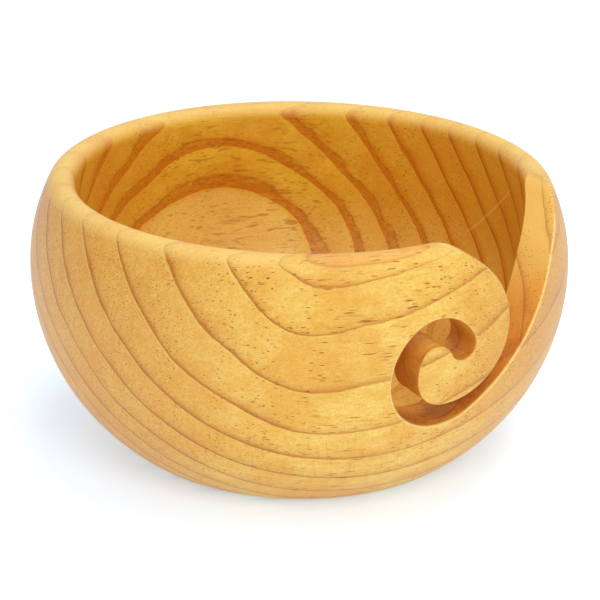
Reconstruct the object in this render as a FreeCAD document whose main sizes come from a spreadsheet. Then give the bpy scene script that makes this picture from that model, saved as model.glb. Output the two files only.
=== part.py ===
"""Yarn bowl: one block of pine, turned to a bulging bowl, with a curling yarn slot.

The bowl is a single piece of wood. It is turned on a lathe (a revolved profile), the
slot is sawn straight through one side of the wall (a pocket), and the sawn edges are
eased (a fillet). The origin is the centre of the flat base, +Z is up and the front is
-Y. The slot is in the front right of the wall.
"""

import FreeCAD, Part
import math
import os

import Sketcher

# Driving dimensions, in millimetres and degrees.
DIMENSIONS = [
    # the turned profile, outside
    ("outer_diameter", 152, "widest part of the bulging wall"),
    ("bowl_height", 80, "table to the top of the rim"),
    ("equator_height", 54.5, "height at which the bowl is widest"),
    ("base_corner_radius", 12, "round between the flat base and the wall"),
    ("lower_wall_radius", 64, "outside curve below the widest part"),
    ("upper_wall_radius", 52, "outside curve above the widest part"),
    ("rim_radius", 4, "full round of the rim"),
    # the turned profile, inside
    ("floor_thickness", 12, "base to the inside floor"),
    ("cavity_corner_radius", 40, "inside curve between the wall and the floor"),
    # the plane that the slot is drawn on, and where its outline starts and ends
    ("slot_azimuth", 29, "how far the slot is turned from the front to the right"),
    ("slot_start_across", -2.5, "where the outline leaves the rim, across from the axis"),
    ("slot_start_rise", 0.15, "how far above the rim the outline starts"),
    ("slot_overrun", 8, "how far above the rim the outline closes"),
    # the tongue, the end of the wall that curls like a snail's shell
    ("tongue_top_radius", 28.5, "from the rim to the right side of the tongue"),
    ("tongue_top_turn", 50, ""),
    ("tongue_side_radius", 20, "right side and bottom of the tongue"),
    ("tongue_side_turn", 133, ""),
    ("curl_bottom_radius", 9, "lower left of the curl"),
    ("curl_bottom_turn", 67, ""),
    ("curl_back_radius", 12.5, "left side of the curl"),
    ("curl_back_turn", 40, ""),
    ("curl_tip_radius", 5, "round tip of the curl"),
    ("curl_tip_turn", 136, ""),
    # the slot's outer side, from its round blind end back to the rim
    ("slot_end_radius", 4, "round blind end, which holds the yarn"),
    ("slot_end_turn", 180, ""),
    ("slot_top_radius", 12, "above the curl"),
    ("slot_top_turn", 104, ""),
    ("slot_back_radius", 16.5, "behind and below the curl"),
    ("slot_back_turn", 176, ""),
    ("slot_ramp_radius", 100, "the long ramp up towards the rim"),
    ("slot_ramp_turn", 20, ""),
    ("slot_side_length", 10, "straight side above the ramp"),
    ("slot_mouth_radius", 20, "where the side leans outwards near the rim"),
    ("slot_mouth_turn", 12, ""),
    ("eased_edge_radius", 0.6, "rounding of the sawn edges"),
]
SIZE = {alias: value for alias, value, _ in DIMENSIONS}

# Point numbers of a line or arc in a sketch, and the sketch's own origin.
START, END, CENTRE = 1, 2, 3
ORIGIN = (-1, 1)

SQUARE_ENOUGH = 1e-6


def fill_sheet(doc):
    """The spreadsheet that drives every size."""
    sheet = doc.addObject("Spreadsheet::Sheet", "Dimensions")
    for row, (alias, value, note) in enumerate(DIMENSIONS, start=1):
        sheet.set(f"A{row}", alias)
        sheet.set(f"B{row}", str(value))
        sheet.set(f"C{row}", note)
        sheet.setAlias(f"B{row}", alias)
    doc.recompute()
    return sheet


def new_sketch(body, name):
    """An empty sketch on the body's own upright plane that faces the front."""
    sketch = body.newObject("Sketcher::SketchObject", name)
    plane = next(item for item in body.Origin.OriginFeatures if item.Role == "XZ_Plane")
    sketch.AttachmentSupport = (plane, "")
    sketch.MapMode = "FlatFace"
    return sketch


def point(across, up):
    return FreeCAD.Vector(across, up, 0)


def add_line(sketch, start, end):
    return sketch.addGeometry(Part.LineSegment(start, end), False)


def add_arc(sketch, centre, radius, start_angle, end_angle):
    """An arc that runs counter-clockwise between two angles in radians."""
    circle = Part.Circle(centre, FreeCAD.Vector(0, 0, 1), radius)
    return sketch.addGeometry(Part.ArcOfCircle(circle, start_angle, end_angle), False)


def fix(sketch, name, kind, where, value, expression):
    """A named dimension of the sketch that follows the sheet."""
    index = sketch.addConstraint(Sketcher.Constraint(kind, *where, value))
    sketch.renameConstraint(index, name)
    sketch.setExpression(f"Constraints.{name}", expression)


def join(sketch, kind, first, second):
    """Coincident or Tangent, between two (geometry, point) ends."""
    sketch.addConstraint(Sketcher.Constraint(kind, *first, *second))


def draw_turned_profile(sketch):
    """Half of the bowl's section: base, bulging wall, round rim, straight cavity, floor."""
    equator = point(SIZE["outer_diameter"] / 2, SIZE["equator_height"])
    corner_radius = SIZE["base_corner_radius"]
    lower_radius = SIZE["lower_wall_radius"]
    upper_radius = SIZE["upper_wall_radius"]
    rim_radius = SIZE["rim_radius"]
    cavity_radius = SIZE["cavity_corner_radius"]
    floor = SIZE["floor_thickness"]

    # Two arcs touch when their centres are as far apart as their radii differ.
    lower_centre = equator - point(lower_radius, 0)
    drop = equator.y - corner_radius
    corner_reach = math.sqrt((lower_radius - corner_radius) ** 2 - drop ** 2)
    corner_centre = point(lower_centre.x + corner_reach, corner_radius)
    corner_angle = math.atan2(-drop, corner_reach)

    upper_centre = equator - point(upper_radius, 0)
    rise = SIZE["bowl_height"] - rim_radius - equator.y
    rim_reach = math.sqrt((upper_radius - rim_radius) ** 2 - rise ** 2)
    rim_centre = upper_centre + point(rim_reach, rise)
    rim_angle = math.atan2(rise, rim_reach)

    wall_across = rim_centre.x - rim_radius
    cavity_centre = point(wall_across - cavity_radius, floor + cavity_radius)

    base = add_line(sketch, point(0, 0), point(corner_centre.x, 0))
    corner = add_arc(sketch, corner_centre, corner_radius, -math.pi / 2, corner_angle)
    lower = add_arc(sketch, lower_centre, lower_radius, corner_angle, 0)
    upper = add_arc(sketch, upper_centre, upper_radius, 0, rim_angle)
    rim = add_arc(sketch, rim_centre, rim_radius, rim_angle, math.pi)
    wall = add_line(sketch, point(wall_across, rim_centre.y), point(wall_across, cavity_centre.y))
    cavity = add_arc(sketch, cavity_centre, cavity_radius, -math.pi / 2, 0)
    inside = add_line(sketch, point(cavity_centre.x, floor), point(0, floor))
    axis = add_line(sketch, point(0, floor), point(0, 0))

    join(sketch, "Coincident", (base, START), ORIGIN)
    join(sketch, "Tangent", (base, END), (corner, START))
    join(sketch, "Tangent", (corner, END), (lower, START))
    join(sketch, "Tangent", (lower, END), (upper, START))
    join(sketch, "Tangent", (upper, END), (rim, START))
    join(sketch, "Tangent", (rim, END), (wall, START))
    join(sketch, "Tangent", (wall, END), (cavity, END))
    join(sketch, "Tangent", (cavity, START), (inside, START))
    join(sketch, "Coincident", (inside, END), (axis, START))
    join(sketch, "Coincident", (axis, END), (base, START))
    for line in (base, inside):
        sketch.addConstraint(Sketcher.Constraint("Horizontal", line))
    for line in (wall, axis):
        sketch.addConstraint(Sketcher.Constraint("Vertical", line))
    sketch.addConstraint(Sketcher.Constraint("Horizontal", lower, CENTRE, lower, END))

    for name, arc in (("base_corner_radius", corner), ("lower_wall_radius", lower),
                      ("upper_wall_radius", upper), ("rim_radius", rim),
                      ("cavity_corner_radius", cavity)):
        fix(sketch, name, "Radius", (arc,), SIZE[name], f"Dimensions.{name}")
    fix(sketch, "half_width", "DistanceX", (*ORIGIN, lower, END), equator.x,
        "Dimensions.outer_diameter / 2")
    fix(sketch, "equator_height", "DistanceY", (*ORIGIN, lower, END), equator.y,
        "Dimensions.equator_height")
    fix(sketch, "rim_centre_height", "DistanceY", (*ORIGIN, rim, CENTRE), rim_centre.y,
        "Dimensions.bowl_height - Dimensions.rim_radius")
    fix(sketch, "floor_thickness", "DistanceY", (*ORIGIN, inside, END), floor,
        "Dimensions.floor_thickness")


class Path:
    """Arcs and lines drawn end to end in a sketch, each one tangent to the last."""

    def __init__(self, sketch, start, heading):
        self.sketch = sketch
        self.place = start
        self.heading = heading
        self.last_end = None

    def _join(self, entry, leave):
        if self.last_end is not None:
            join(self.sketch, "Tangent", self.last_end, entry)
        self.last_end = leave

    def arc(self, name, side):
        """Turn left (side 1) or right (side -1) by the sheet's radius and angle."""
        radius = SIZE[f"{name}_radius"]
        turn = math.radians(SIZE[f"{name}_turn"])
        to_centre = self.heading + side * math.pi / 2
        centre = self.place + point(math.cos(to_centre), math.sin(to_centre)) * radius
        first = to_centre + math.pi
        last = first + side * turn
        arc = add_arc(self.sketch, centre, radius, min(first, last), max(first, last))
        if side > 0:
            self._join((arc, START), (arc, END))
        else:
            self._join((arc, END), (arc, START))
        fix(self.sketch, f"{name}_radius", "Radius", (arc,), radius,
            f"Dimensions.{name}_radius")
        fix(self.sketch, f"{name}_turn", "Angle", (arc,), turn,
            f"Dimensions.{name}_turn * 1 deg")
        self.place = centre + point(math.cos(last), math.sin(last)) * radius
        self.heading += side * turn
        return arc

    def line(self, length):
        """Straight on."""
        end = self.place + point(math.cos(self.heading), math.sin(self.heading)) * length
        line = add_line(self.sketch, self.place, end)
        self._join((line, START), (line, END))
        self.place = end
        return line


def draw_slot_outline(sketch):
    """The slot and its mouth: round the tongue, into the curl, and back up to the rim."""
    left, right = 1, -1
    start = point(SIZE["slot_start_across"], SIZE["bowl_height"] + SIZE["slot_start_rise"])
    close_height = SIZE["bowl_height"] + SIZE["slot_overrun"]
    side_length = SIZE["slot_side_length"]

    path = Path(sketch, start, heading=0)
    tongue_top = path.arc("tongue_top", right)
    path.arc("tongue_side", right)
    path.arc("curl_bottom", right)
    path.arc("curl_back", right)
    path.arc("curl_tip", right)
    path.arc("slot_end", left)
    path.arc("slot_top", left)
    path.arc("slot_back", left)
    path.arc("slot_ramp", left)
    side = path.line(side_length)
    path.arc("slot_mouth", right)
    mouth = path.line((close_height - path.place.y) / math.sin(path.heading))

    top = add_line(sketch, path.place, point(start.x, close_height))
    close = add_line(sketch, point(start.x, close_height), start)
    join(sketch, "Coincident", (mouth, END), (top, START))
    join(sketch, "Coincident", (top, END), (close, START))
    join(sketch, "Coincident", (close, END), (tongue_top, END))
    sketch.addConstraint(Sketcher.Constraint("Horizontal", top))
    sketch.addConstraint(Sketcher.Constraint("Vertical", close))
    sketch.addConstraint(Sketcher.Constraint("Vertical", tongue_top, CENTRE, tongue_top, END))

    fix(sketch, "slot_side_length", "Distance", (side,), side_length,
        "Dimensions.slot_side_length")
    fix(sketch, "start_across", "DistanceX", (*ORIGIN, tongue_top, END), start.x,
        "Dimensions.slot_start_across")
    fix(sketch, "start_height", "DistanceY", (*ORIGIN, tongue_top, END), start.y,
        "Dimensions.bowl_height + Dimensions.slot_start_rise")
    fix(sketch, "close_height", "DistanceY", (*ORIGIN, top, END), close_height,
        "Dimensions.bowl_height + Dimensions.slot_overrun")


def is_sawn(face, saw_direction):
    """Whether a face was left by the saw: flat or round along the saw's direction."""
    surface = face.Surface
    if isinstance(surface, Part.Plane):
        upright = abs(surface.Axis.z) < 1 - SQUARE_ENOUGH
        return upright and abs(surface.Axis.dot(saw_direction)) < SQUARE_ENOUGH
    if isinstance(surface, Part.Cylinder):
        return abs(surface.Axis.dot(saw_direction)) > 1 - SQUARE_ENOUGH
    return False


def sawn_edges(shape, saw_direction):
    """Names of the edges where a sawn face meets a turned one."""
    names = []
    for number, edge in enumerate(shape.Edges, start=1):
        faces = shape.ancestorsOfType(edge, Part.Face)
        if len(faces) == 2 and is_sawn(faces[0], saw_direction) != is_sawn(faces[1], saw_direction):
            names.append(f"Edge{number}")
    return names


def make_bowl(doc):
    """The turned bowl, with its slot sawn and its sawn edges eased."""
    body = doc.addObject("PartDesign::Body", "Bowl")
    body.Label = "bowl"
    body.Placement = FreeCAD.Placement()

    profile = new_sketch(body, "TurnedProfile")
    draw_turned_profile(profile)
    turned = body.newObject("PartDesign::Revolution", "TurnedBlock")
    turned.Profile = profile
    turned.ReferenceAxis = (profile, ["V_Axis"])
    turned.Angle = 360
    doc.recompute()
    turned_volume = turned.Shape.Volume

    # The sketch faces the front right, and the cut runs from the bowl's axis outwards,
    # so that it opens this side of the wall only.
    outline = new_sketch(body, "SlotOutline")
    turn = FreeCAD.Rotation(FreeCAD.Vector(0, 1, 0), SIZE["slot_azimuth"])
    outline.AttachmentOffset = FreeCAD.Placement(FreeCAD.Vector(), turn)
    outline.setExpression("AttachmentOffset.Rotation.Angle", "Dimensions.slot_azimuth * 1 deg")
    draw_slot_outline(outline)
    slot = body.newObject("PartDesign::Pocket", "YarnSlot")
    slot.Profile = outline
    slot.Type = "Length"
    slot.Reversed = True
    slot.setExpression("Length", "Dimensions.outer_diameter")
    doc.recompute()
    slot_volume = turned_volume - slot.Shape.Volume
    print(f"turned block {turned_volume:.0f} mm3, slot removes {slot_volume:.0f} mm3")
    if slot_volume <= 0:
        raise RuntimeError("the slot cuts nothing")

    saw_direction = outline.Placement.Rotation.multVec(FreeCAD.Vector(0, 0, 1))
    eased = body.newObject("PartDesign::Fillet", "EasedEdges")
    eased.Base = (slot, sawn_edges(slot.Shape, saw_direction))
    eased.setExpression("Radius", "Dimensions.eased_edge_radius")
    body.Tip = eased
    doc.recompute()
    print(f"easing removes {slot.Shape.Volume - eased.Shape.Volume:.0f} mm3")
    return body


def check(doc, pieces):
    """Stop if anything failed to build."""
    for item in doc.Objects:
        if "Invalid" in item.State or "Error" in item.State:
            raise RuntimeError(f"{item.Name} did not build: {item.State}")
    for piece in pieces:
        if piece.Shape.isNull() or not piece.Shape.isValid() or len(piece.Shape.Solids) != 1:
            raise RuntimeError(f"{piece.Label} is not one valid solid")


def main():
    doc = FreeCAD.newDocument("YarnBowl")
    fill_sheet(doc)
    pieces = [make_bowl(doc)]
    check(doc, pieces)
    os.makedirs("parts", exist_ok=True)
    for piece in pieces:
        piece.Shape.exportStep(f"parts/{piece.Label}.step")
        box = piece.Shape.BoundBox
        print(f"{piece.Label}: {box.XLength:.2f} x {box.YLength:.2f} x {box.ZLength:.2f} mm,"
              f" volume {piece.Shape.Volume:.0f} mm3")


main()
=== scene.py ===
"""Looks of the yarn bowl: one block of pine, turned, sanded and oiled, with a sawn yarn slot."""
import math

import bpy
from mathutils import Matrix, Vector

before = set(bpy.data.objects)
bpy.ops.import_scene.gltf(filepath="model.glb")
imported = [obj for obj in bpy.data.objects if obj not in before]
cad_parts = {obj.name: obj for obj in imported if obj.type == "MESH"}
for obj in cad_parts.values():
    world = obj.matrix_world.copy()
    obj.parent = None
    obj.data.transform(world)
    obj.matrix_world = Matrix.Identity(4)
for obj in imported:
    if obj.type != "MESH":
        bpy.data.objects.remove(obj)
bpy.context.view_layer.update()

MM = 0.001

# ---------------------------------------------------------------- camera, in metres and degrees
CAMERA_PLACE = Vector((0.0, -0.650, 0.2973))
CAMERA_PITCH = math.radians(21.503)
CAMERA_YAW = math.radians(0.036)
CAMERA_ROLL = math.radians(0.984)
CAMERA_LENS = 146.58
CAMERA_SENSOR = 36.0

# ---------------------------------------------------------------- floor and light
FLOOR_SIZE = 8.0
FLOOR_COLOUR = (0.88, 0.90, 0.93, 1)
FLOOR_ROUGHNESS = 0.7
# The floor glows blue, which evens out the warm light that the bowl throws on it.
FLOOR_GLOW = (0.51, 0.775, 1.0, 1)
FLOOR_GLOW_STRENGTH = 0.47
SKY_STRENGTH = 0.68
LIGHT_TARGET = (0, 0, 0.04)
# Place, size across and power of each round light
LIGHTS = {"key": ((0.18, -0.9, 0.8), 0.6, 4.0), "top": ((0.24, 0.1, 1.18), 0.8, 4.4)}

# ---------------------------------------------------------------- the block of pine
# Lengths are in millimetres. The block's own places are told from its middle, a point on the bowl's axis.
BLOCK_MIDDLE = (0.0, 0.0, 40.0)
FIBRE_YAW = math.radians(14)  # the fibres run left to right, a little back on the right
RING_YAW = math.radians(45.7)  # the way from ring to ring, at the middle
RING_RISE = math.radians(58)
RING_ROLL = math.radians(-8.9)
# How far each bend carries the rings, as a share of RING_REACH, at that distance from the middle
RING_REACH = 50.0
BEND_ALONG = 0.033
BEND_ALONG_CUBED = -0.083
BEND_ACROSS_CUBED = -0.147
TWIST = 0.132
SWAY = -0.163
SWELL = -0.165
# How wide the years are, from each of these places on, along the way from ring to ring
YEAR_WIDTHS = ((-106, 9), (-52, 13.5), (-38.5, 7.75), (-23, 10.1))
# Towards this place, at the front rim, the years crowd together.
CROWDED = 67.5
CROWDING = 6
THINNEST_YEAR = 1.0
YEARS_BEYOND = 3.0
LAST_YEAR = 110
# In front, near the middle, the rings turn sharply.
KINK = 1.5
KINK_X = 0.5
KINK_REACH = 17.0
KINK_ROUND = 3.5
# Near the rim in front, the rings rise and meet it.
LIFT = 5.0
LIFT_X = 17.0
LIFT_REACH = 26.0
WAVES = 2.6
CALMING = 0.85  # how much of the waves is missing at the top of the front
FRONT_GATE = (30, 60)  # from the middle towards the front: where the front's own bends set in

# ---------------------------------------------------------------- the turned and sawn shape
# Heights marked "above the table" are told from the base, the others from the block's middle.
EQUATOR = 54.5  # above the table: height of the widest part
WALL_CENTRE = 15.0  # how far out from the axis the wall's curve is centred
SLOT_TURN = math.radians(29)  # the slot is sawn level, turned this far to the right of straight ahead
CURL_ACROSS = 1.0  # middle of the slot's curl, across from the axis
CURL_UP = 51.0  # and above the table
CURL_EDGE = (12, 14)  # from that middle: where the curl's own soft edges end
SAWN_REACH = (15, 25)  # along the saw's way, on the slot's side of the axis
SAWN_RADIUS = (50, 56)  # only in the wall
SAWN_TOP = (38.5, 39.5)
LOW_SAWN = (6, 22)  # below this the sawn face, low in the slot, is darkened with painted shade
WORN_AND_HIGHLIT_FOOT = (-18, -15)
WORN_AND_HIGHLIT_TOP = (33, 35)
RIM_RUB_AND_SHEEN = (35.8, 39.4)  # the top of the rim, rubbed pale and given a painted sheen
# The pale line's ends, above the table, on the wall inside, on the right
PALE_LINE_TOP = Vector((61, 15.5, 71))
PALE_LINE_FOOT = Vector((50, 38, 49))
PALE_LINE_WIDTH = (0.1, 0.4)
PALE_LINE_SIDE = (20, 30)  # from the axis: the pale line is on this side only

# ---------------------------------------------------------------- colours as they are seen, 0 to 255
PALE_AND_SHEEN = (250, 218, 136)  # the rim, rubbed pale by hands and yarn and given a painted sheen; inside, the pale thinly oiled wood, with a painted reflection low down
EARLY_PALE = (239, 201, 102)
EARLY_GOLD = (231, 183, 78)
EARLY_ORANGE = (225, 160, 56)
SUMMER = (216, 142, 50)
END_GRAIN = (214, 146, 64)
SPECK = (188, 118, 44)
LATE = (174, 96, 12)
DASH = (168, 92, 24)
PORE = (132, 66, 16)
BLUSH = (226, 142, 44)  # round the innermost ring that meets the front rim
GLOW = (220, 124, 26)  # the dark wood under thick oil
# Pale wear on the slot's eased edges, with a painted highlight along them
EDGE_WEAR_AND_HIGHLIGHT = (252, 224, 152)
FRESH = (250, 198, 96)  # the upper sawn face, which is sanded too
FRESH_LOW = (246, 176, 66)
BURNT = (128, 66, 20)  # where the saw rubbed
SAWN_SHADE = (255, 214, 116)  # painted shade: the lower sawn face, low in the slot, takes this share of the colour
OILED = (254, 249, 138)  # the oil lies thicker inside, and takes this share of the colour

# ---------------------------------------------------------------- finish
GLOSS = {"Specular IOR Level": 0.24, "Coat Weight": 0.08, "Coat Roughness": 0.3}
ROUGHNESS = 0.36
RELIEF_DEPTH = 0.00012
RELIEF_STRENGTH = 0.8


class Shade:
    """A few short ways to add nodes to one material. A value is a socket or a plain number."""

    def __init__(self, material):
        self.tree = material.node_tree
        self.tree.nodes.clear()
        self.links = self.tree.links

    def node(self, kind, inputs=(), **settings):
        n = self.tree.nodes.new(kind)
        for name, value in settings.items():
            setattr(n, name, value)
        for key, value in dict(inputs).items():
            self.put(n.inputs[key], value)
        return n

    def put(self, socket, value):
        if isinstance(value, bpy.types.NodeSocket):
            self.links.new(value, socket)
        else:
            socket.default_value = value

    def math(self, operation, *values, clamp=False):
        n = self.node("ShaderNodeMath", operation=operation, use_clamp=clamp)
        for i, v in enumerate(values):
            self.put(n.inputs[i], v)
        return n.outputs[0]

    def add(self, *values):
        total = values[0]
        for v in values[1:]:
            total = self.math("ADD", total, v)
        return total

    def times(self, *values):
        total = values[0]
        for v in values[1:]:
            total = self.math("MULTIPLY", total, v)
        return total

    def rest(self, value, clamp=False):
        """What is left of one."""
        return self.math("SUBTRACT", 1.0, value, clamp=clamp)

    def vector(self, operation, *values, output=0):
        n = self.node("ShaderNodeVectorMath", operation=operation)
        for i, v in enumerate(values):
            self.put(n.inputs[i], v)
        return n.outputs[output]

    def dot(self, a, b):
        return self.vector("DOT_PRODUCT", a, b, output="Value")

    def length(self, a):
        return self.vector("LENGTH", a, output="Value")

    def join(self, x, y, z):
        return self.node("ShaderNodeCombineXYZ", {0: x, 1: y, 2: z}).outputs[0]

    def noise(self, place, scale, detail, roughness=0.5):
        n = self.node("ShaderNodeTexNoise", {"Vector": place, "Scale": scale, "Detail": detail,
                                             "Roughness": roughness})
        return n.outputs["Fac"]

    def smooth(self, value, low, high, to_low=0.0, to_high=1.0):
        n = self.node("ShaderNodeMapRange", {"Value": value, "From Min": low, "From Max": high,
                                             "To Min": to_low, "To Max": to_high},
                      interpolation_type="SMOOTHSTEP")
        return n.outputs[0]

    def fade(self, value, low, high):
        """One below low, none above high."""
        return self.smooth(value, low, high, 1.0, 0.0)

    def ramp(self, value, stops):
        """Straight from stop to stop, each a place and a level."""
        n = self.node("ShaderNodeValToRGB", {"Fac": value})
        elements = n.color_ramp.elements
        while len(elements) < len(stops):
            elements.new(1.0)
        for element, (place, level) in zip(elements, stops):
            element.position = place
            element.color = (level, level, level, 1.0)
        return n.outputs[0]

    def paint(self, under, tint, mask, strength=1.0, blend="MIX"):
        """One coat of a tint over a colour. Each is a socket or a colour as it is seen."""
        if strength != 1.0:
            mask = self.times(mask, strength)
        n = self.node("ShaderNodeMix", data_type="RGBA", blend_type=blend)
        self.put(n.inputs["Factor"], mask)
        for key, value in (("A", under), ("B", tint)):
            socket = next(s for s in n.inputs if s.name == key and s.type == "RGBA")
            if isinstance(value, bpy.types.NodeSocket):
                self.links.new(value, socket)
            else:
                socket.default_value = (*linear(value), 1.0)
        return next(s for s in n.outputs if s.type == "RGBA")


def linear(seen):
    """A colour as it is seen, 0 to 255, turned into the linear one that the shader takes."""
    return tuple((c / 12.92 if c <= 0.04045 else ((c + 0.055) / 1.055) ** 2.4)
                 for c in (v / 255 for v in seen))


class Block:
    """Where a point of the wood is, in millimetres, and which way its surface faces."""

    def __init__(self, sh):
        self.sh = sh
        self.here = sh.vector("MULTIPLY", sh.node("ShaderNodeTexCoord").outputs["Object"], (1 / MM,) * 3)
        self.place = sh.vector("SUBTRACT", self.here, BLOCK_MIDDLE)
        self.right = sh.dot(self.place, (1, 0, 0))
        self.front = sh.dot(self.place, (0, -1, 0))
        self.up = sh.dot(self.place, (0, 0, 1))
        level_place = sh.vector("MULTIPLY", self.place, (1, 1, 0))
        self.radius = sh.length(level_place)
        fibre = (math.cos(FIBRE_YAW), math.sin(FIBRE_YAW), 0)
        side = (-math.sin(FIBRE_YAW), math.cos(FIBRE_YAW), 0)
        self.along = sh.dot(self.place, fibre)
        self.across = sh.dot(self.place, side)
        self.normal = sh.node("ShaderNodeNewGeometry").outputs["Normal"]
        # How much of the fibres' ends the surface shows, and whether it faces the bowl's axis
        self.ends = sh.smooth(sh.math("ABSOLUTE", sh.dot(self.normal, fibre)), 0.2, 0.85)
        self.lying = sh.rest(self.ends)
        self.inside = sh.fade(sh.dot(self.normal, sh.vector("NORMALIZE", level_place)), -0.97, -0.5)
        self.outside = sh.rest(self.inside)

    def drawn_out(self, share):
        """A place for noise that is drawn out along the fibres: the smaller the share, the longer."""
        return self.sh.join(self.sh.times(self.along, share), self.across, self.up)

    def noise(self, share, scale, detail, roughness=0.5):
        return self.sh.noise(self.drawn_out(share), scale, detail, roughness)


# ---------------------------------------------------------------- growth rings

def ring_axes():
    """Unit vectors of the block: level across the rings' way, the rings' way, and square to both."""
    way = Vector((math.sin(RING_YAW) * math.cos(RING_RISE), -math.cos(RING_YAW) * math.cos(RING_RISE),
                  math.sin(RING_RISE)))
    level = way.cross(Vector((0, 0, 1))).normalized()
    level = -level if level.x < 0 else level
    square = way.cross(level)
    square = -square if square.z < 0 else square
    c, s = math.cos(RING_ROLL), math.sin(RING_ROLL)
    return level * c + square * s, way, square * c - level * s


def bent_rings(sh, block):
    """How far a point is along the way from ring to ring, with the block's large bends."""
    level, way, square = ring_axes()
    a, n, t = (sh.dot(block.place, tuple(v / RING_REACH)) for v in (level, way, square))
    aa, tt = sh.times(a, a), sh.times(t, t)
    bends = sh.add(
        sh.times(aa, BEND_ALONG), sh.times(aa, a, BEND_ALONG_CUBED), sh.times(tt, t, BEND_ACROSS_CUBED),
        sh.times(n, t, TWIST), sh.times(a, tt, SWAY), sh.times(aa, t, SWELL))
    return sh.times(sh.add(n, bends), RING_REACH)


def kink(sh, block):
    """A sharp turn of the rings in front, weaker near the rim and gone low down."""
    beside = sh.add(block.right, -KINK_X)
    beside = sh.math("SQRT", sh.add(sh.times(beside, beside), KINK_ROUND ** 2))
    return sh.times(
        sh.rest(sh.times(beside, 1 / KINK_REACH), clamp=True), sh.smooth(block.up, -22, 0),
        sh.smooth(block.up, 26, 36, 1.0, 0.3), sh.smooth(block.front, *FRONT_GATE), KINK)


def lift(sh, block):
    """A rise of the rings where the wall turns over into the front rim."""
    beside = sh.times(sh.add(block.right, -LIFT_X), 1 / LIFT_REACH)
    return sh.times(
        sh.rest(sh.times(beside, beside), clamp=True), sh.smooth(block.radius, 71.5, 63.5),
        sh.smooth(block.up, 28, 34), sh.smooth(block.front, *FRONT_GATE), LIFT)


def ring_place(sh, block):
    """How far a point is along the way from ring to ring, in millimetres, bends, waves and all."""
    bent = bent_rings(sh, block)
    calm = sh.times(sh.smooth(block.up, 20, 30), sh.smooth(block.front, *FRONT_GATE))
    slow = sh.add(block.noise(0.2, scale=0.07, detail=1.0), -0.5)
    waves = sh.times(slow, WAVES, sh.rest(sh.times(calm, CALMING)))
    fine = sh.add(block.noise(0.3, scale=0.9, detail=2.0), -0.5)
    ragged = sh.times(fine, sh.smooth(bent, -25, 5, 0.45, 0.22))
    return sh.add(bent, kink(sh, block), lift(sh, block), waves, ragged)


def year_starts():
    """Where each year's dark wood starts, along the way from ring to ring."""
    places = [YEAR_WIDTHS[0][0]]
    while places[-1] < LAST_YEAR:
        place = places[-1]
        width = [w for start, w in YEAR_WIDTHS if place >= start][-1]
        if place > 0:
            width *= 1 - (place / CROWDED) ** CROWDING
        if place > CROWDED - THINNEST_YEAR / 2:
            width = YEARS_BEYOND
        places.append(place + max(width, THINNEST_YEAR))
    return places


def year_count(sh, ring):
    """The number of years up to a place along the rings' way, with a year's share as the fraction."""
    places = year_starts()
    first, last, years = places[0], places[-1], len(places) - 1
    n = sh.node("ShaderNodeFloatCurve")
    sh.put(n.inputs["Value"], sh.math("DIVIDE", sh.math("SUBTRACT", ring, first), last - first))
    curve = n.mapping.curves[0]
    for i, place in enumerate(places):
        x, y = (place - first) / (last - first), i / years
        if i in (0, years):
            point = curve.points[0 if i == 0 else -1]
            point.location = (x, y)
        else:
            point = curve.points.new(x, y)
        point.handle_type = "VECTOR"
    n.mapping.update()
    return sh.times(n.outputs[0], float(years))


class Rings:
    """The growth rings: each year's dark band, the raised ridge before it, painted pale as a highlight,
    and the shading after it.
    """

    def __init__(self, sh, block):
        self.place = ring_place(sh, block)
        share = sh.math("FRACT", year_count(sh, self.place))
        width = sh.times(
            sh.smooth(self.place, -30, 12, 0.26, 0.095),
            sh.smooth(block.noise(0.15, scale=0.12, detail=1.0), 0.3, 0.7, 0.65, 1.4),
            sh.smooth(self.place, 64.5, 66, 1.0, 1.2))
        through = sh.times(sh.math("DIVIDE", share, width), 0.25)
        wide = sh.ramp(through, [(0.0, 0.0), (0.02, 0.75), (0.06, 0.62), (0.17, 0.68), (0.215, 1.0),
                                 (0.25, 0.9), (0.285, 0.25), (0.5, 0.08), (1.0, 0.0)])
        thin = sh.ramp(through, [(0.0, 0.0), (0.03, 0.8), (0.08, 1.0), (0.15, 0.9), (0.24, 0.45),
                                 (0.4, 0.15), (1.0, 0.0)])
        self.band = sh.node("ShaderNodeMix", {"Factor": sh.smooth(self.place, -15, 10),
                                              "A": wide, "B": thin}).outputs[0]
        self.boldness = sh.smooth(block.right, -12, 26, 1.0, 0.62)  # the rings are bolder on the left
        # A raised ridge just before each band: used for the bump, and painted pale as a highlight.
        self.ridge_and_highlight = sh.times(sh.smooth(share, 0.945, 0.985), sh.smooth(self.place, -5, 15),
                              self.boldness, self.boldness)
        self.shade = sh.ramp(share, [(0.0, 0.9), (0.1, 0.8), (0.28, 0.45), (0.6, 0.12), (0.9, 0.0),
                                     (1.0, 0.0)])


# ---------------------------------------------------------------- marks in the wood

def canals(sh, block, shade, share, scale, near, threshold):
    """Resin canals of one size, mostly in the darker part of the year."""
    cell = sh.node("ShaderNodeTexVoronoi", {"Vector": block.drawn_out(share), "Scale": scale})
    chosen = sh.dot(cell.outputs["Color"], (1.0, 0.0, 0.0))
    where = sh.add(chosen, sh.times(shade, 0.55), sh.times(block.noise(0.3, scale=0.1, detail=1.0), 0.6))
    return sh.times(sh.fade(cell.outputs["Distance"], *near),
                    sh.smooth(where, threshold, threshold + 0.15))


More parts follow.
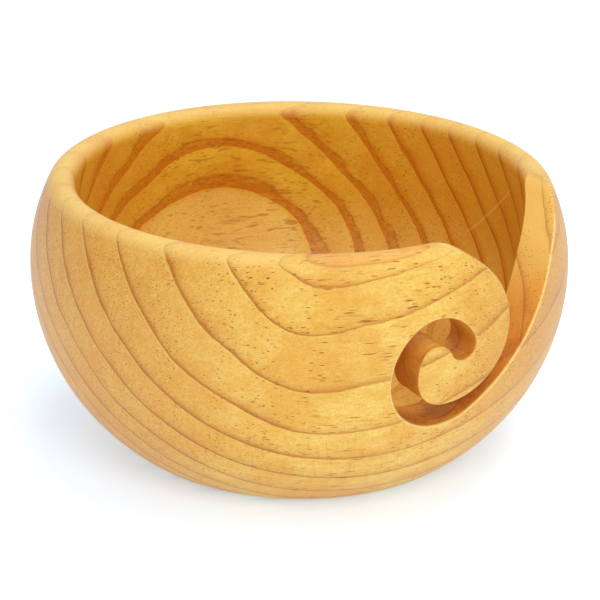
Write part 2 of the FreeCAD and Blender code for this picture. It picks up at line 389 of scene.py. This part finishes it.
class Marks:
    """Pores, smudges and dashes, the marks that turning has left, and one straight pale line."""

    def __init__(self, sh, block, rings):
        self.pores = sh.math(
            "MAXIMUM",
            canals(sh, block, rings.shade, share=0.07, scale=1.25, near=(0.1, 0.24), threshold=0.8),
            canals(sh, block, rings.shade, share=0.06, scale=0.7, near=(0.07, 0.15), threshold=0.92))
        in_shade = sh.smooth(sh.add(rings.shade, block.noise(0.3, scale=0.08, detail=1.0)), 0.5, 1.1)
        blurs = sh.smooth(block.noise(0.1, scale=0.6, detail=1.0, roughness=0.4), 0.56, 0.72)
        self.smudge = sh.times(blurs, in_shade, block.lying, sh.smooth(block.inside, 0.3, 1.0, 0.35, 1.0))
        short = sh.smooth(block.noise(0.11, scale=1.7, detail=1.0, roughness=0.3), 0.64, 0.72)
        bold = sh.smooth(block.noise(0.16, scale=0.75, detail=1.0, roughness=0.4), 0.64, 0.7)
        by_the_heart = sh.times(sh.fade(rings.place, -30, -20), block.inside)
        self.dash = sh.times(
            sh.math("MAXIMUM", sh.times(short, in_shade), sh.times(bold, by_the_heart)), block.lying)
        # Faint upright marks of the turning, low on the front
        upright = sh.vector("MULTIPLY", block.place, (1.0, 0.3, 0.1))
        self.chatter = sh.times(sh.smooth(sh.noise(upright, scale=1.3, detail=1.0), 0.58, 0.72),
                                sh.smooth(block.up, -30, -24), sh.smooth(block.up, -2, -12))
        self.pale_line = self.straight_pale_line(sh, block)

    @staticmethod
    def straight_pale_line(sh, block):
        """One straight pale line inside, on the right."""
        way = PALE_LINE_TOP - PALE_LINE_FOOT
        outwards = Vector((*(PALE_LINE_TOP + PALE_LINE_FOOT).xy, 0)).normalized()
        from_foot = sh.vector("SUBTRACT", block.here, tuple(PALE_LINE_FOOT))
        beside = sh.math("ABSOLUTE", sh.dot(from_foot, tuple(way.cross(outwards).normalized())))
        share = sh.dot(from_foot, tuple(way / way.length_squared))
        return sh.times(sh.fade(beside, *PALE_LINE_WIDTH), block.inside, sh.smooth(share, -0.05, 0.15),
                        sh.fade(share, 0.85, 1.05),
                        sh.smooth(sh.dot(block.here, tuple(outwards)), *PALE_LINE_SIDE))


class Slot:
    """The slot's sawn faces, square to the turned wall, darker low down with painted shade, and its
    outside edges, eased, worn pale and given a painted highlight.
    """

    def __init__(self, sh, block):
        saw_way = (math.sin(SLOT_TURN), -math.cos(SLOT_TURN), 0)
        facing_saw = sh.math("ABSOLUTE", sh.dot(block.normal, saw_way))
        self.sawn = sh.times(
            sh.fade(facing_saw, 0.12, 0.3), sh.smooth(sh.dot(block.place, saw_way), *SAWN_REACH),
            sh.fade(block.up, *SAWN_TOP), sh.smooth(block.radius, *SAWN_RADIUS))
        # The lower sawn faces, low in the slot: they get painted shade and the burn marks.
        self.low_sawn = sh.times(self.sawn, sh.fade(block.up, *LOW_SAWN))
        self.high_sawn = sh.math("SUBTRACT", self.sawn, self.low_sawn)
        self.kerf = sh.noise(sh.vector("MULTIPLY", block.place, (1.6, 1.6, 6.0)), scale=1.0, detail=2.0)
        self.scorch = sh.times(
            self.low_sawn, sh.smooth(sh.noise(block.place, scale=0.16, detail=2.0), 0.42, 0.6),
            sh.smooth(self.kerf, 0.3, 0.6, 0.5, 1.0))

        # An eased edge is square neither to the turned wall nor to the saw.
        wall_share = sh.rest(sh.math("DIVIDE", WALL_CENTRE, block.radius))
        outward = sh.vector("SUBTRACT",
                            sh.vector("MULTIPLY", block.place, sh.join(wall_share, wall_share, 1.0)),
                            (0, 0, EQUATOR - BLOCK_MIDDLE[2]))
        facing_out = sh.dot(block.normal, sh.vector("NORMALIZE", outward))
        saw_across = (math.cos(SLOT_TURN), math.sin(SLOT_TURN), 0)
        off_curl = sh.length(sh.join(sh.add(sh.dot(block.here, saw_across), -CURL_ACROSS),
                                     sh.add(sh.dot(block.here, (0, 0, 1)), -CURL_UP), 0.0))
        # The slot's eased outside edges: worn pale, with a painted highlight along them.
        self.worn_and_highlit = sh.times(
            sh.smooth(facing_out, 0.1, 0.3), sh.fade(facing_out, 0.93, 0.97),
            sh.smooth(facing_saw, 0.15, 0.35), sh.smooth(block.up, *WORN_AND_HIGHLIT_FOOT),
            sh.fade(block.up, *WORN_AND_HIGHLIT_TOP), sh.smooth(off_curl, *CURL_EDGE, 0.25, 1.0))


# ---------------------------------------------------------------- the material

def early_wood(sh, block, rings, mottle, blotch, dapple):
    """The pale wood between the dark bands, blotchy, and browner where the fibres' ends show."""
    colour = sh.paint(EARLY_PALE, EARLY_GOLD, sh.smooth(mottle, 0.35, 0.68))
    colour = sh.paint(colour, EARLY_ORANGE, sh.smooth(blotch, 0.4, 0.65, 0.0, 0.7))
    colour = sh.paint(colour, SUMMER, sh.times(rings.shade, sh.smooth(rings.place, -20, 30, 0.5, 0.2)))
    colour = sh.paint(colour, END_GRAIN, block.ends, strength=0.6)
    by_ends = sh.smooth(block.ends, 0.0, 1.0, 0.26, 0.5)
    colour = sh.paint(colour, EARLY_ORANGE, sh.times(sh.smooth(dapple, 0.48, 0.7), by_ends))
    return sh.paint(colour, EARLY_PALE, sh.smooth(dapple, 0.32, 0.48, 0.25, 0.0))


def wood_colour(sh, block, rings, marks, slot, speckle, streak):
    """The colour, coat by coat, from the early wood to what turning, oil, use and saw did to it, with
    painted highlights on the rim, the ring ridges and the slot's edges, a painted reflection low inside
    and painted shade low in the slot.
    """
    blotch = sh.noise(block.place, scale=0.045, detail=3.0, roughness=0.6)
    mottle = block.noise(0.45, scale=0.35, detail=4.0, roughness=0.65)
    dapple = block.noise(0.5, scale=0.95, detail=3.0, roughness=0.6)
    grit = sh.noise(block.place, scale=2.2, detail=2.0, roughness=0.7)
    rubbed_and_sheen = sh.times(sh.smooth(block.up, *RIM_RUB_AND_SHEEN), sh.smooth(mottle, 0.25, 0.6, 0.7, 1.0))
    # Inside, the oil lies thick on the walls, and thin on the heart of the rings. Low on the walls inside
    # the colour is made paler too: a painted reflection.
    thin_oil_and_reflection = sh.math("MAXIMUM", sh.smooth(rings.place, -40, -37.5, 0.5, 0.0),
                       sh.smooth(block.up, -8, 20, 0.45, 0.0))

    colour = early_wood(sh, block, rings, mottle, blotch, dapple)
    # Inside: paler where the oil is thin, and low down a painted reflection.
    colour = sh.paint(colour, PALE_AND_SHEEN, sh.times(block.inside, thin_oil_and_reflection))
    colour = sh.paint(colour, SUMMER, sh.smooth(streak, 0.5, 0.8, 0.0, 0.5))
    colour = sh.paint(colour, SPECK, sh.smooth(speckle, 0.5, 0.78, 0.0, 0.5))
    gritty = sh.times(sh.smooth(grit, 0.42, 0.68), sh.smooth(block.ends, 0.0, 1.0, 0.3, 0.58),
                      sh.smooth(block.inside, 0.0, 1.0, 1.0, 0.6))
    colour = sh.paint(colour, SPECK, gritty)
    glow = sh.add(rings.shade, block.noise(0.35, scale=0.11, detail=2.0))
    colour = sh.paint(colour, GLOW, sh.times(sh.smooth(glow, 0.85, 1.25), block.inside), strength=0.5)
    blush = sh.times(sh.smooth(rings.place, 67.1, 67.9), sh.fade(rings.place, 68.2, 69.6),
                     sh.smooth(streak, 0.4, 0.6, 0.3, 1.0), block.outside)
    colour = sh.paint(colour, BLUSH, blush, strength=0.6)
    lower = sh.add(blotch, sh.times(block.up, -0.012))
    fresh = sh.paint(FRESH, FRESH_LOW, sh.smooth(lower, 0.1, 0.4))
    colour = sh.paint(colour, fresh, slot.high_sawn, strength=0.7)

    colour = sh.paint(colour, SPECK, marks.chatter, strength=0.3)
    colour = sh.paint(colour, LATE, marks.smudge, strength=0.35)
    colour = sh.paint(colour, DASH, sh.times(marks.dash, sh.smooth(rings.place, 58, 64, 0.5, 0.9)))
    # The dark bands break up towards the heart of the rings, and fade on the rim, where it is rubbed pale
    # and carries the painted sheen.
    broken = sh.smooth(dapple, 0.3, 0.62, sh.smooth(rings.place, -20, 10, 0.45, 1.0), 1.0)
    rim_fade = sh.smooth(rubbed_and_sheen, 0.0, 1.0, 1.0, sh.smooth(rings.place, 20, 50, 0.3, 0.6))
    band = sh.times(rings.band, sh.smooth(rings.place, -20, 30, 0.72, 0.85), broken, rim_fade,
                    sh.math("MAXIMUM", rings.boldness, block.inside))
    colour = sh.paint(colour, LATE, band)
    # Painted highlight on the raised ridge before each band.
    colour = sh.paint(colour, EARLY_PALE, rings.ridge_and_highlight, strength=0.25)
    long_inside = sh.times(block.inside, block.lying)
    colour = sh.paint(colour, PORE, sh.times(marks.pores, sh.smooth(long_inside, 0.0, 1.0, 0.9, 0.5)))

    # Less of the oil's colour on the heart of the rings, and low down, where a painted reflection
    # lightens the wall.
    oil = sh.times(block.inside, sh.math("SUBTRACT", 0.85, thin_oil_and_reflection))
    colour = sh.paint(colour, OILED, oil, blend="MULTIPLY")
    colour = sh.paint(colour, EARLY_PALE, marks.pale_line, strength=0.5)
    # Painted highlight along the slot's eased edges, over their pale wear.
    colour = sh.paint(colour, EDGE_WEAR_AND_HIGHLIGHT, slot.worn_and_highlit, strength=0.45)
    # The rim's top: rubbed pale, with a painted sheen (a painted highlight) over the wear.
    colour = sh.paint(colour, PALE_AND_SHEEN, sh.times(rubbed_and_sheen, sh.smooth(rings.place, 66, 67.5, 0.42, 0.15)))
    # Painted shade on the lower sawn faces, low in the slot.
    colour = sh.paint(colour, SAWN_SHADE, slot.low_sawn, strength=0.65, blend="MULTIPLY")
    return sh.paint(colour, BURNT, slot.scorch, strength=0.32)


def pine(name):
    """The whole block's material."""
    m = bpy.data.materials.new(name)
    m.use_nodes = True
    sh = Shade(m)
    block = Block(sh)
    rings = Rings(sh, block)
    marks = Marks(sh, block, rings)
    slot = Slot(sh, block)
    speckle = block.noise(0.3, scale=2.4, detail=3.0, roughness=0.7)
    streak = block.noise(0.04, scale=1.3, detail=4.0, roughness=0.65)

    height = sh.add(sh.times(rings.band, -0.4), sh.times(rings.ridge_and_highlight, 0.75), sh.times(speckle, 0.35),
                    sh.times(streak, 0.4), sh.times(slot.sawn, slot.kerf, 0.8))
    bump = sh.node("ShaderNodeBump", {"Strength": RELIEF_STRENGTH, "Distance": RELIEF_DEPTH,
                                      "Height": height})
    rough = sh.add(sh.times(speckle, 0.16), sh.times(rings.band, -0.05), sh.times(slot.sawn, 0.12),
                   ROUGHNESS)
    colour = wood_colour(sh, block, rings, marks, slot, speckle, streak)
    shader = sh.node("ShaderNodeBsdfPrincipled", {"Base Color": colour, "Roughness": rough,
                                                  "Normal": bump.outputs[0], **GLOSS})
    out = sh.node("ShaderNodeOutputMaterial")
    sh.links.new(shader.outputs[0], out.inputs["Surface"])
    return m


# ---------------------------------------------------------------- the stage

def pale_floor():
    m = bpy.data.materials.new("pale_floor")
    m.use_nodes = True
    shader = m.node_tree.nodes["Principled BSDF"]
    shader.inputs["Base Color"].default_value = FLOOR_COLOUR
    shader.inputs["Roughness"].default_value = FLOOR_ROUGHNESS
    shader.inputs["Emission Color"].default_value = FLOOR_GLOW
    shader.inputs["Emission Strength"].default_value = FLOOR_GLOW_STRENGTH
    bpy.ops.mesh.primitive_plane_add(size=FLOOR_SIZE, location=(0, 0, 0))
    floor = bpy.context.object
    floor.name = "floor"
    floor.data.materials.append(m)


def area_light(name, place, size, power):
    """A round light that faces the bowl."""
    data = bpy.data.lights.new(name, "AREA")
    data.shape = "DISK"
    data.size = size
    data.energy = power
    light = bpy.data.objects.new(name, data)
    light.location = place
    facing = Vector(LIGHT_TARGET) - Vector(place)
    light.rotation_euler = facing.to_track_quat("-Z", "Y").to_euler()
    bpy.context.scene.collection.objects.link(light)


def studio():
    world = bpy.data.worlds.new("studio")
    bpy.context.scene.world = world
    world.use_nodes = True
    sky = world.node_tree.nodes["Background"]
    sky.inputs["Color"].default_value = (1, 1, 1, 1)
    sky.inputs["Strength"].default_value = SKY_STRENGTH
    for name, (place, size, power) in LIGHTS.items():
        area_light(name, place, size, power)
    bpy.context.scene.view_settings.view_transform = "Standard"


def photo_camera():
    data = bpy.data.cameras.new("camera")
    data.lens = CAMERA_LENS
    data.sensor_width = CAMERA_SENSOR
    camera = bpy.data.objects.new("camera", data)
    level, drop = math.cos(CAMERA_PITCH), math.sin(CAMERA_PITCH)
    forward = Vector((math.sin(CAMERA_YAW) * level, math.cos(CAMERA_YAW) * level, -drop))
    right = Vector((math.cos(CAMERA_YAW), -math.sin(CAMERA_YAW), 0))
    above = right.cross(forward)
    c, s = math.cos(CAMERA_ROLL), math.sin(CAMERA_ROLL)
    x, y = right * c + above * s, above * c - right * s
    turn = Matrix((x, y, -forward)).transposed().to_4x4()
    camera.matrix_world = Matrix.Translation(CAMERA_PLACE) @ turn
    bpy.context.scene.collection.objects.link(camera)
    bpy.context.scene.camera = camera


photo_camera()
pale_floor()
studio()

wood = pine("pine")
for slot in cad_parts["bowl"].material_slots:
    slot.material = wood
